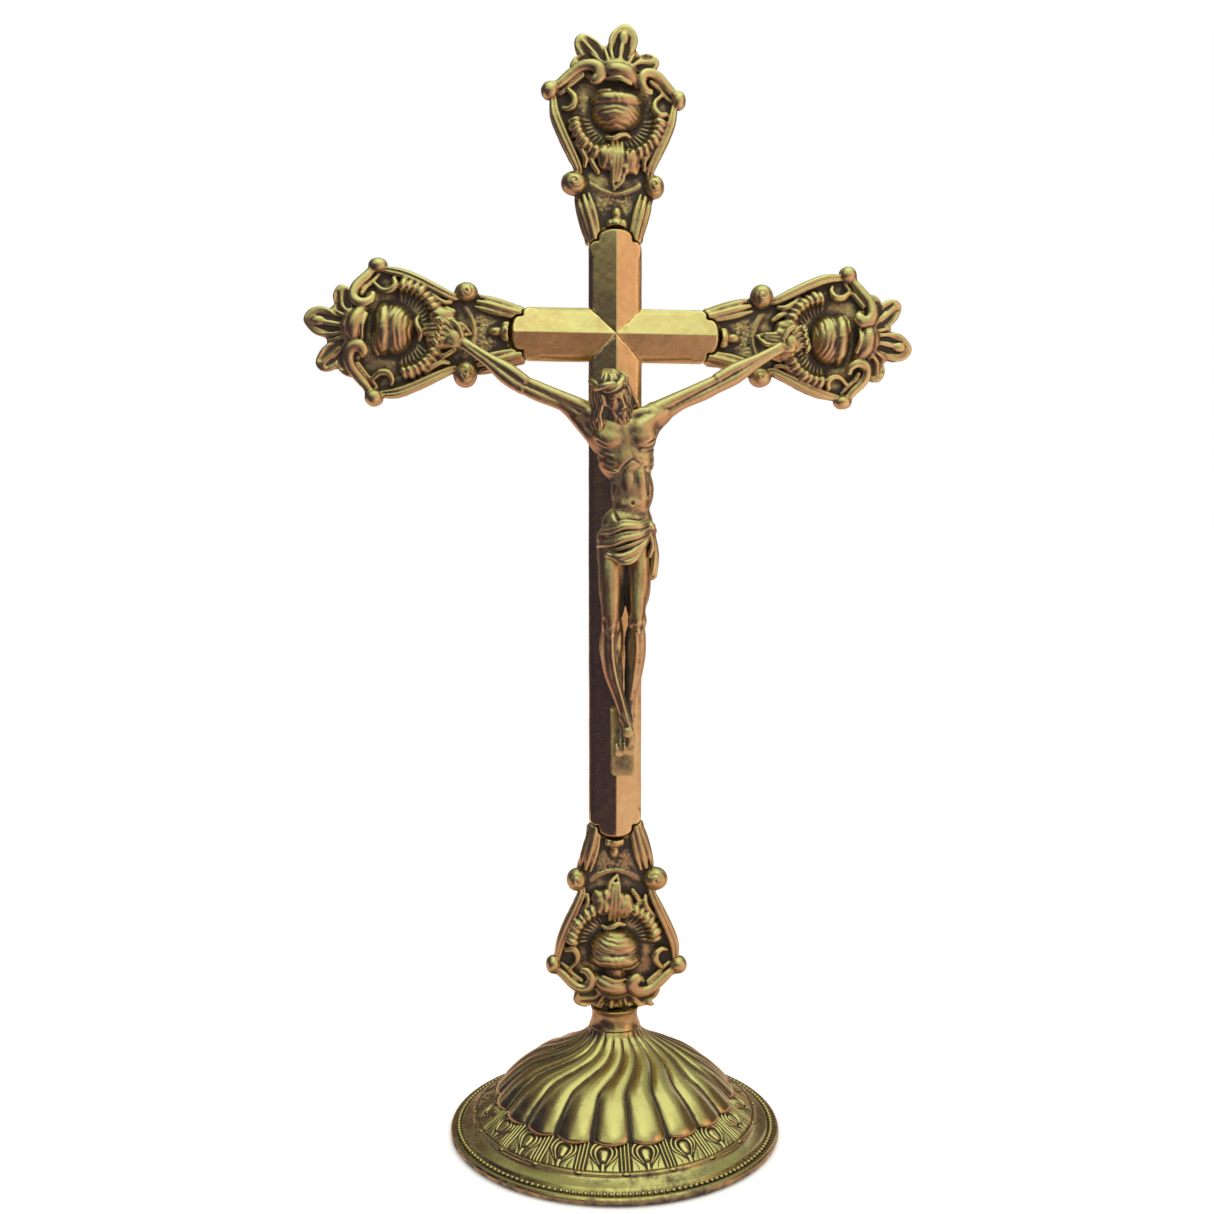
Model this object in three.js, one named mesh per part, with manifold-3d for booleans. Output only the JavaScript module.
// Brass altar crucifix, in millimetres. +Z is up, the front faces -Y, and the origin is the middle of the
// foot's underside. The cross lies in the XZ plane with the flat backs of its bars just in front of y = 0.
import * as THREE from "three";
import { mergeVertices } from "three/addons/utils/BufferGeometryUtils.js";
import Module from "manifold-3d";

const wasm = await Module();
wasm.setup();

// ---------- driving dimensions ----------
const gap = 0.3;                  // left between neighbouring pieces
const crossingHeight = 304.5;     // middle of the crossing above the table

const barHalfWidth = 10.1;
const barEdgeDepth = 2.5;         // from y = 0 to the front of a bar's long edges
const barRidgeDepth = 6.0;        // from y = 0 to the ridge
const shortBarLength = 35.5;      // crossing to the shoulders of the upper, left and right bars
const lowerBarDrop = 151.5;       // how much longer the lower bar is
const archHalfWidth = 7.0;
const archRise = 5.0;
const shoulderRadius = 3.0;

const plateHalfThickness = 2.0;   // terminal castings
const tongueStart = 20.3;
const tongueEnd = 41.0;
const tongueHalfWidth = 6.5;
const tongueThickness = 2.0;
const fanTrim = 105.4;            // where the bottom casting's fan is cut flat to stand on the collar

const collarBottom = 40.0;
const collarTop = 47.3;
const rimRadius = 63.2;
const domeWall = 2.0;

const rodRadius = 2.5;
const rodHoleRadius = 2.95;
const rodBottom = 26.5;
const rodTop = 60.0;
const nutAcrossCorners = 9.4;
const nutThickness = 4.0;
const washerRadius = 7.5;
const washerThickness = 1.5;

const rivetShankRadius = 1.1;
const rivetHoleRadius = 1.5;
const rivetHeadRadius = 2.4;
const rivetBite = 1.6;            // how far a rivet goes into its bar

const nailShankRadius = 0.8;
const nailHoleRadius = 1.25;
const nailHeadRadius = 2.0;
const nailNutRadius = 2.6;
const leftNail = [-60.5, 301.0];  // x, z
const rightNail = [65.5, 301.5];
const footNail = [2.6, 156.0];

const shoulderCutLeft = -13.2;    // x of the solder joints of the arms
const shoulderCutRight = 15.4;

// ---------- materials ----------
const polishedBrass = new THREE.MeshStandardMaterial({ color: 0xb59a5a, roughness: 0.3, metalness: 1.0 });
const antiqueBrass = new THREE.MeshStandardMaterial({ color: 0x8f7442, roughness: 0.42, metalness: 1.0 });
const agedSteel = new THREE.MeshStandardMaterial({ color: 0x6f6c66, roughness: 0.5, metalness: 1.0 });

// ---------- geometry to solid and back ----------
function toSolid(geometry) {
  const bare = geometry.index ? geometry.toNonIndexed() : geometry.clone();
  for (const name of Object.keys(bare.attributes)) {
    if (name !== "position") bare.deleteAttribute(name);
  }
  const merged = mergeVertices(bare, 1e-4);
  const mesh = new wasm.Mesh({
    numProp: 3,
    vertProperties: new Float32Array(merged.attributes.position.array),
    triVerts: new Uint32Array(merged.index.array),
  });
  mesh.merge();
  return new wasm.Manifold(mesh);
}

function toGeometry(solid) {
  const mesh = solid.getMesh();
  const geometry = new THREE.BufferGeometry();
  geometry.setAttribute("position", new THREE.BufferAttribute(mesh.vertProperties, 3));
  geometry.setIndex(new THREE.BufferAttribute(mesh.triVerts, 1));
  geometry.computeVertexNormals();
  return geometry;
}

function join(solids) {
  return solids.reduce((sum, next) => sum.add(next));
}

function cut(solid, tools) {
  return tools.reduce((rest, tool) => rest.subtract(tool), solid);
}

// ---------- basic shapes ----------
function box(xRange, yRange, zRange) {
  const ranges = [xRange, yRange, zRange];
  const sizes = ranges.map(([low, high]) => high - low);
  const middles = ranges.map(([low, high]) => (low + high) / 2);
  return toSolid(new THREE.BoxGeometry(...sizes).translate(...middles));
}

function ellipsoid([x, y, z], [rx, ry, rz], turns = 8, rings = 5, tilt = 0) {
  const geometry = new THREE.SphereGeometry(1, turns, rings).rotateX(Math.PI / 2);
  geometry.scale(rx, ry, rz).rotateY(tilt).translate(x, y, z);
  return toSolid(geometry);
}

// A limb is a tapered round bar with rounded ends.
function limb(from, fromRadius, to, toRadius, sides = 8) {
  const start = new THREE.Vector3(...from);
  const along = new THREE.Vector3(...to).sub(start);
  const length = along.length();
  const profile = [];
  for (const angle of [-90, -55, -20]) {
    const turn = THREE.MathUtils.degToRad(angle);
    profile.push(new THREE.Vector2(fromRadius * Math.cos(turn), fromRadius * Math.sin(turn)));
  }
  for (const angle of [20, 55, 90]) {
    const turn = THREE.MathUtils.degToRad(angle);
    profile.push(new THREE.Vector2(toRadius * Math.cos(turn), length + toRadius * Math.sin(turn)));
  }
  profile[0].x = 0;
  profile[profile.length - 1].x = 0;
  const aim = new THREE.Quaternion().setFromUnitVectors(new THREE.Vector3(0, 1, 0), along.normalize());
  return toSolid(new THREE.LatheGeometry(profile, sides).applyQuaternion(aim).translate(...from));
}

// A round tube along a smooth curve through the points, closed at both ends.
function tube(points, radius, steps, sides = 5) {
  const section = new THREE.Shape();
  section.absarc(0, 0, radius, 0, Math.PI * 2);
  const path = new THREE.CatmullRomCurve3(points.map((point) => new THREE.Vector3(...point)));
  return toSolid(new THREE.ExtrudeGeometry(section, {
    steps, curveSegments: sides, bevelEnabled: false, extrudePath: path,
  }));
}

// An outline drawn in X and Z, given thickness from yBack towards the front.
function plate(outline, yBack, yFront, curveSegments = 3) {
  const geometry = new THREE.ExtrudeGeometry(outline, {
    depth: yBack - yFront, bevelEnabled: false, curveSegments,
  });
  return toSolid(geometry.rotateX(Math.PI / 2).translate(0, yBack, 0));
}

// A round peg along Y.
function peg([x, z], radius, yFront, yBack, sides = 8) {
  const geometry = new THREE.CylinderGeometry(radius, radius, yBack - yFront, sides);
  return toSolid(geometry.translate(x, (yFront + yBack) / 2, z));
}

// A turned piece about +Z, from a closed [radius, height] profile that runs up its outer side.
function turned(profile, segments) {
  const points = [...profile, profile[0]].map(([radius, height]) => new THREE.Vector2(radius, height));
  return toSolid(new THREE.LatheGeometry(points, segments).rotateX(Math.PI / 2));
}

function piece(name, solid, material) {
  const mesh = new THREE.Mesh(toGeometry(solid), material);
  mesh.name = name;
  return mesh;
}

// ---------- foot ----------
// The foot is one spun shell. Its inside follows the outside one wall thickness further in.
function makeBaseDome() {
  const outside = [
    [rodHoleRadius, collarBottom - gap], [9.9, collarBottom - gap], [10.8, 38.0], [14.3, 35.0], [19.8, 32.0],
    [32.9, 26.0], [38.3, 22.0], [42.5, 18.0], [44.6, 13.6], [52.6, 8.2], [61.8, 3.6],
    [rimRadius, 2.0], [rimRadius, 0.0],
  ];
  const inside = outside.slice(0, -1).map(([radius, height], i) => {
    const [nextRadius, nextHeight] = outside[Math.min(i + 1, outside.length - 1)];
    const [lastRadius, lastHeight] = outside[Math.max(i - 1, 0)];
    const run = new THREE.Vector2(nextRadius - lastRadius, nextHeight - lastHeight).normalize();
    return [radius + run.y * domeWall, height - run.x * domeWall];
  });
  inside[0] = [rodHoleRadius, collarBottom - gap - domeWall];
  const kept = inside.filter(([radius, height]) => radius < rimRadius - 3.6 && height > 0.5);
  kept.push([rimRadius - 4.0, 0.0]);
  return turned([...outside, ...kept.reverse()].reverse(), 40);
}

function makeNeckCollar() {
  return turned([
    [rodHoleRadius, collarBottom], [10.6, collarBottom], [10.7, 40.8], [9.5, 41.6], [8.9, 43.4], [8.8, 45.0],
    [9.4, 46.2], [9.4, collarTop], [rodHoleRadius, collarTop],
  ], 24);
}

function makeTieRod() {
  const rod = new THREE.CylinderGeometry(rodRadius, rodRadius, rodTop - rodBottom, 20);
  return toSolid(rod.rotateX(Math.PI / 2).translate(0, 0, (rodTop + rodBottom) / 2));
}

const washerTop = collarBottom - 2 * gap - domeWall;

function makeBaseWasher() {
  const low = washerTop - washerThickness;
  return turned([[rodHoleRadius, low], [washerRadius, low], [washerRadius, washerTop],
    [rodHoleRadius, washerTop]], 20);
}

function makeBaseNut() {
  const top = washerTop - washerThickness - gap;
  const hexagon = new THREE.CylinderGeometry(nutAcrossCorners / 2, nutAcrossCorners / 2, nutThickness, 6);
  const hole = new THREE.CylinderGeometry(rodHoleRadius, rodHoleRadius, nutThickness * 2, 20);
  const place = (geometry) => toSolid(geometry.rotateX(Math.PI / 2).translate(0, 0, top - nutThickness / 2));
  return place(hexagon).subtract(place(hole));
}

// ---------- bars ----------
// A bar points along +Z from the crossing. Its inner end is a 45 degree mitre to both sides.
function barOutline(length) {
  const innerCorner = barHalfWidth + gap;
  const outline = new THREE.Shape();
  outline.moveTo(0, gap);
  outline.lineTo(barHalfWidth, innerCorner);
  outline.lineTo(barHalfWidth, length - shoulderRadius);
  outline.quadraticCurveTo(barHalfWidth, length, archHalfWidth + 0.4, length);
  outline.lineTo(archHalfWidth - 0.4, length - 0.6);
  outline.bezierCurveTo(archHalfWidth - 1.0, length + archRise * 0.7, 3.4, length + archRise, 0, length + archRise);
  outline.bezierCurveTo(-3.4, length + archRise, 1.0 - archHalfWidth, length + archRise * 0.7,
    0.4 - archHalfWidth, length - 0.6);
  outline.lineTo(-archHalfWidth - 0.4, length);
  outline.quadraticCurveTo(-barHalfWidth, length, -barHalfWidth, length - shoulderRadius);
  outline.lineTo(-barHalfWidth, innerCorner);
  outline.closePath();
  return outline;
}

function roofSection(length) {
  const section = new THREE.Shape();
  section.moveTo(-barHalfWidth - 1, -gap);
  section.lineTo(-barHalfWidth, -barEdgeDepth);
  section.lineTo(0, -barRidgeDepth);
  section.lineTo(barHalfWidth, -barEdgeDepth);
  section.lineTo(barHalfWidth + 1, -gap);
  section.closePath();
  return toSolid(new THREE.ExtrudeGeometry(section, { depth: length + 2 * archRise, bevelEnabled: false }));
}

function makeBar(length, holes) {
  const solid = plate(barOutline(length), 5, -barRidgeDepth - 5).intersect(roofSection(length));
  return cut(solid, holes);
}

const crossingRivetAt = 13.5;
const tongueRivetsAt = [24.0, 30.0];

function rivetHoles(positions) {
  return positions.map((along) => peg([0, along], rivetHoleRadius, -gap - rivetBite - gap, 1));
}

function makeCrossingPlate() {
  const reach = tongueStart - gap;
  const armHalf = tongueHalfWidth;
  const upright = box([-armHalf, armHalf], [0, tongueThickness], [-reach, reach]);
  const beam = box([-reach, reach], [0, tongueThickness], [-armHalf, armHalf]);
  const places = [[0, crossingRivetAt], [0, -crossingRivetAt], [crossingRivetAt, 0], [-crossingRivetAt, 0]];
  const holes = places.map((place) => peg(place, rivetHoleRadius, -1, tongueThickness + 1));
  return cut(upright.add(beam), holes);
}

function makeRivet() {
  const shank = peg([0, 0], rivetShankRadius, -gap - rivetBite, tongueThickness + 1.0);
  const head = ellipsoid([0, tongueThickness + gap, 0], [rivetHeadRadius, 1.3, rivetHeadRadius]);
  const behind = box([-5, 5], [tongueThickness + gap, 10], [-5, 5]);
  return shank.add(head.intersect(behind));
}

// ---------- terminal casting ----------
// Drawn pointing up from the crossing: X is across, Z is the distance from the crossing.
function terminalOutline() {
  const outline = new THREE.Shape();
  outline.moveTo(-8.6, 34.0);
  outline.splineThru([[-11.5, 36.3], [-13.8, 43.1], [-15.4, 51.5], [-15.2, 60.5], [-18.6, 67.5], [-22.0, 75.0],
    [-24.4, 84.0], [-20.6, 93.3], [-17.0, 97.5]].map(([x, z]) => new THREE.Vector2(x, z)));
  outline.lineTo(-12.0, 103.0);
  outline.lineTo(10.0, 103.0);
  outline.splineThru([[17.5, 95.4], [23.0, 88.0], [22.2, 79.1], [19.9, 72.5], [17.0, 67.0], [14.6, 60.5],
    [14.7, 51.7], [12.9, 46.5], [11.2, 41.8], [8.6, 34.0]].map(([x, z]) => new THREE.Vector2(x, z)));
  outline.closePath();
  return outline;
}

const fanRoot = [0, -2.5, 98.0];
const fanTips = [[-12.6, 106.6], [-9.0, 102.0], [-5.0, 105.5], [3.4, 111.7], [9.0, 103.6], [13.0, 101.0]];
const fanTipRadii = [3.0, 2.0, 2.2, 3.9, 2.2, 2.6];

function makeFan() {
  return fanTips.map(([x, z], i) => limb(fanRoot, 2.4, [x, -2.4, z], fanTipRadii[i], 6));
}

function makeScrolls() {
  const left = tube([[-24.0, -2.4, 89.5], [-17.5, -3.6, 94.0], [-10.5, -4.6, 98.4], [-5.6, -4.6, 95.8],
    [-7.4, -4.2, 91.8]], 1.9, 7);
  const right = tube([[23.6, -2.4, 89.0], [17.6, -3.6, 94.6], [12.6, -4.6, 97.6], [9.2, -4.6, 94.6],
    [11.6, -4.2, 90.6]], 1.8, 7);
  return [left, right];
}

function makeRims() {
  const left = tube([[-15.0, -2.2, 60.0], [-18.0, -2.4, 67.4], [-21.4, -2.4, 75.0], [-23.4, -2.2, 86.0]], 1.3, 3);
  const right = tube([[14.0, -2.2, 60.0], [16.6, -2.4, 67.0], [20.6, -2.4, 75.0], [22.4, -2.2, 86.0]], 1.3, 3);
  return [left, right];
}

function makeTerminal(extraHoles) {
  const parts = [
    plate(terminalOutline(), plateHalfThickness, -plateHalfThickness, 1),
    box([-tongueHalfWidth, tongueHalfWidth], [0, tongueThickness], [tongueStart, tongueEnd]),
    ellipsoid([-15.4, -1.0, 56.4], [4.4, 4.2, 4.4]),
    ellipsoid([14.6, -1.0, 56.0], [4.2, 4.2, 4.2]),
    ellipsoid([-24.2, -1.2, 89.2], [3.4, 3.4, 3.4]),
    ellipsoid([23.9, -1.2, 88.6], [3.4, 3.4, 3.4]),
    ellipsoid([0.6, -2.0, 82.2], [9.4, 7.0, 8.2], 12, 7),
    ellipsoid([1.2, -3.0, 95.3], [6.4, 3.4, 3.2]),
    ellipsoid([0.9, -2.0, 63.5], [5.4, 3.4, 10.5]),
    ellipsoid([0.7, -1.8, 42.6], [3.6, 2.6, 5.0], 6, 4),
    ellipsoid([-10.6, -1.6, 43.6], [2.6, 3.2, 9.4], 6, 5, -0.26),
    ellipsoid([9.6, -1.6, 43.4], [2.6, 3.2, 9.4], 6, 5, 0.26),
    ...makeFan(),
    ...makeScrolls(),
    ...makeRims(),
  ];
  const behind = box([-40, 40], [plateHalfThickness, 20], [0, 140]);
  // The bar's arched end lies on the neck, so the neck behind it is cut back to the tongue.
  const barSeat = plate(barOutline(shortBarLength + gap), 0, -12).add(
    box([-barHalfWidth - gap, barHalfWidth + gap], [-12, 0], [10, shortBarLength]));
  const holes = tongueRivetsAt.map((along) => peg([0, along], rivetHoleRadius, -1, tongueThickness + 1));
  return cut(join(parts), [behind, barSeat, ...holes, ...extraHoles]);
}

// The bottom casting is trimmed level and has a blind socket for the tie rod behind its fan.
function makeBottomTerminal() {
  const bossHeight = 16.0;
  const boss = new THREE.CylinderGeometry(4.6, 4.6, bossHeight, 20).rotateX(Math.PI / 2);
  boss.translate(0, 0, fanTrim - bossHeight / 2);
  const socketDepth = rodTop - collarTop + 2 * gap;
  const socket = new THREE.CylinderGeometry(rodHoleRadius, rodHoleRadius, 2 * socketDepth, 20);
  socket.rotateX(Math.PI / 2).translate(0, 0, fanTrim);
  const beyond = box([-40, 40], [-40, 40], [fanTrim, fanTrim + 40]);
  return cut(makeTerminal([]).add(toSolid(boss)), [beyond, toSolid(socket)]);
}

// ---------- figure ----------
function makeTrunkAndLegs() {
  return join([
    ellipsoid([-3.0, -19.0, 279.6], [7.6, 8.4, 10.2], 12, 8, -0.3),
    limb([2.0, -14.8, 270.0], 4.6, [-1.0, -17.0, 276.0], 4.4),
    ellipsoid([2.2, -14.4, 263.5], [12.6, 7.0, 12.4], 12, 7, 0.04),
    limb([-10.5, -13.0, 272.0], 4.6, [-15.5, -13.0, 273.6], 4.6),
    limb([12.6, -13.0, 272.0], 4.6, [17.6, -13.0, 274.0], 4.6),
    ellipsoid([4.6, -13.4, 246.0], [8.6, 5.8, 13.0], 12, 7),
    ellipsoid([3.8, -14.0, 226.0], [11.6, 7.2, 10.6], 12, 7),
    limb([13.4, -13.0, 228.0], 2.4, [14.0, -13.0, 215.0], 1.8, 6),
    limb([-1.8, -14.2, 221.0], 6.6, [-2.6, -19.0, 197.0], 4.6),
    limb([-2.6, -19.0, 197.0], 4.6, [1.2, -13.4, 164.0], 2.7),
    limb([8.0, -14.2, 221.0], 6.4, [6.0, -19.0, 197.0], 4.5),
    limb([6.0, -19.0, 197.0], 4.5, [3.6, -13.4, 164.0], 2.7),
    limb([1.6, -14.0, 163.0], 2.8, [2.2, -16.2, 148.5], 2.5),
    limb([3.6, -14.0, 163.0], 2.8, [3.4, -16.8, 149.0], 2.4),
  ]);
}

function makeArm(shoulder, elbow, wrist, hand) {
  return join([
    limb(shoulder, 4.6, elbow, 3.3),
    limb(elbow, 3.5, wrist, 2.1),
    ellipsoid(hand, [5.2, 2.1, 3.4], 8, 5, -0.4 * Math.sign(hand[0])),
  ]);
}

const bodyNailHoles = [peg(footNail, nailHoleRadius, -40, 10)];

function makeCorpus() {
  const between = box([shoulderCutLeft + gap / 2, shoulderCutRight - gap / 2], [-60, 20], [200, 320]);
  const below = box([-30, 30], [-60, 20], [100, 200]);
  const whole = makeTrunkAndLegs();
  return cut(whole.intersect(between.add(below)), bodyNailHoles);
}

function makeArmLeft() {
  const arm = makeArm([-12.0, -13.0, 273.6], [-37.0, -12.8, 284.8], [-55.8, -10.4, 298.2], [-60.2, -9.8, 300.8]);
  const outside = box([-90, shoulderCutLeft - gap / 2], [-60, 20], [200, 360]);
  return arm.intersect(outside).subtract(peg(leftNail, nailHoleRadius, -40, 10));
}

function makeArmRight() {
  const arm = makeArm([14.0, -13.0, 273.8], [40.0, -12.8, 287.2], [60.6, -10.4, 298.9], [65.2, -9.8, 301.3]);
  const outside = box([shoulderCutRight + gap / 2, 90], [-60, 20], [200, 360]);
  return arm.intersect(outside).subtract(peg(rightNail, nailHoleRadius, -40, 10));
}

// A wedge that leans out at the bottom, with its lower corners rounded.
function makeFootRest() {
  const halfWidth = 4.4;
  const bottom = 138.6;
  const top = 163.6;
  const middle = 1.7;
  const front = new THREE.Shape();
  front.moveTo(middle - halfWidth, top);
  front.lineTo(middle - halfWidth, bottom + 2);
  front.quadraticCurveTo(middle - halfWidth, bottom, middle - halfWidth + 2, bottom);
  front.lineTo(middle + halfWidth - 2, bottom);
  front.quadraticCurveTo(middle + halfWidth, bottom, middle + halfWidth, bottom + 2);
  front.lineTo(middle + halfWidth, top);
  front.closePath();
  const side = new THREE.Shape();
  const back = -barRidgeDepth - gap;
  side.moveTo(back, top + 1);
  side.lineTo(back, bottom - 1);
  side.lineTo(-12.4, bottom - 1);
  side.lineTo(-8.6, top + 1);
  side.closePath();
  const wedge = new THREE.ExtrudeGeometry(side, { depth: 40, bevelEnabled: false });
  // The side outline is drawn in Y and Z, so its X, Y and Z become Y, Z and X.
  wedge.applyMatrix4(new THREE.Matrix4().makeBasis(
    new THREE.Vector3(0, 1, 0), new THREE.Vector3(0, 0, 1), new THREE.Vector3(1, 0, 0)));
  const block = plate(front, 0, -30).intersect(toSolid(wedge.translate(-20, 0, 0)));
  return cut(block, bodyNailHoles);
}

function makeNail([x, z], headFront, shankBack) {
  const headThickness = 1.4;
  const neck = headFront + headThickness;
  const shank = peg([x, z], nailShankRadius, neck - 0.4, shankBack);
  const dome = ellipsoid([x, neck, z], [nailHeadRadius, headThickness, nailHeadRadius]);
  const inFront = box([x - 5, x + 5], [headFront - 1, neck], [z - 5, z + 5]);
  return shank.add(dome.intersect(inFront));
}

function makeNailNut([x, z], yFront) {
  const thickness = 2.2;
  return peg([x, z], nailNutRadius, yFront, yFront + thickness, 6)
    .subtract(peg([x, z], nailHoleRadius, yFront - 1, yFront + thickness + 1));
}

// ---------- assembly ----------
const group = new THREE.Group();

group.add(piece("base_dome", makeBaseDome(), polishedBrass));
group.add(piece("neck_collar", makeNeckCollar(), polishedBrass));
group.add(piece("tie_rod", makeTieRod(), agedSteel));
group.add(piece("base_washer", makeBaseWasher(), agedSteel));
group.add(piece("base_nut", makeBaseNut(), agedSteel));

// The cross is built round the crossing, with every arm drawn pointing up and then turned into place.
const cross = new THREE.Group();
cross.position.z = crossingHeight;
group.add(cross);

const arms = [
  { side: "top", bar: "upper_bar", turn: 0, length: shortBarLength },
  { side: "left", bar: "left_bar", turn: -Math.PI / 2, length: shortBarLength },
  { side: "right", bar: "right_bar", turn: Math.PI / 2, length: shortBarLength },
  { side: "bottom", bar: "lower_bar", turn: Math.PI, length: shortBarLength + lowerBarDrop },
];

// A hole given in world X and Z becomes a hole in the drawing of an arm turned by `turn`.
function holeInArm([x, z], turn, radius) {
  const height = z - crossingHeight;
  const across = x * Math.cos(turn) - height * Math.sin(turn);
  const along = x * Math.sin(turn) + height * Math.cos(turn);
  return peg([across, along], radius, -40, 10);
}

function makeArmTerminal({ side, turn }) {
  if (side === "bottom") return makeBottomTerminal();
  if (side === "left") return makeTerminal([holeInArm(leftNail, turn, nailHoleRadius)]);
  if (side === "right") return makeTerminal([holeInArm(rightNail, turn, nailHoleRadius)]);
  return makeTerminal([]);
}

cross.add(piece("crossing_plate", makeCrossingPlate(), antiqueBrass));

arms.forEach((arm, index) => {
  const shift = arm.length - shortBarLength;
  const limbGroup = new THREE.Group();
  limbGroup.rotation.y = arm.turn;
  cross.add(limbGroup);

  const barHoles = rivetHoles([crossingRivetAt, ...tongueRivetsAt.map((along) => along + shift)]);
  if (arm.side === "bottom") barHoles.push(holeInArm(footNail, arm.turn, nailHoleRadius));
  limbGroup.add(piece(arm.bar, makeBar(arm.length, barHoles), polishedBrass));

  const terminal = piece(`${arm.side}_terminal`, makeArmTerminal(arm), antiqueBrass);
  terminal.position.z = shift;
  limbGroup.add(terminal);

  const rivetNames = [`crossing_rivet_${index + 1}`, `${arm.side}_rivet_1`, `${arm.side}_rivet_2`];
  const rivetPlaces = [crossingRivetAt, tongueRivetsAt[0] + shift, tongueRivetsAt[1] + shift];
  rivetNames.forEach((name, i) => {
    const rivet = piece(name, makeRivet(), antiqueBrass);
    rivet.position.z = rivetPlaces[i];
    limbGroup.add(rivet);
  });
});

group.add(piece("corpus", makeCorpus(), antiqueBrass));
group.add(piece("arm_left", makeArmLeft(), antiqueBrass));
group.add(piece("arm_right", makeArmRight(), antiqueBrass));
group.add(piece("foot_rest", makeFootRest(), antiqueBrass));

const nailTail = plateHalfThickness + 3.2;
group.add(piece("hand_nail_left", makeNail(leftNail, -13.4, nailTail), antiqueBrass));
group.add(piece("hand_nail_right", makeNail(rightNail, -13.4, nailTail), antiqueBrass));
group.add(piece("foot_nail", makeNail(footNail, -21.0, nailTail - plateHalfThickness), antiqueBrass));
group.add(piece("hand_nut_left", makeNailNut(leftNail, plateHalfThickness + gap), antiqueBrass));
group.add(piece("hand_nut_right", makeNailNut(rightNail, plateHalfThickness + gap), antiqueBrass));
group.add(piece("foot_nut", makeNailNut(footNail, 0), antiqueBrass));

export default group;
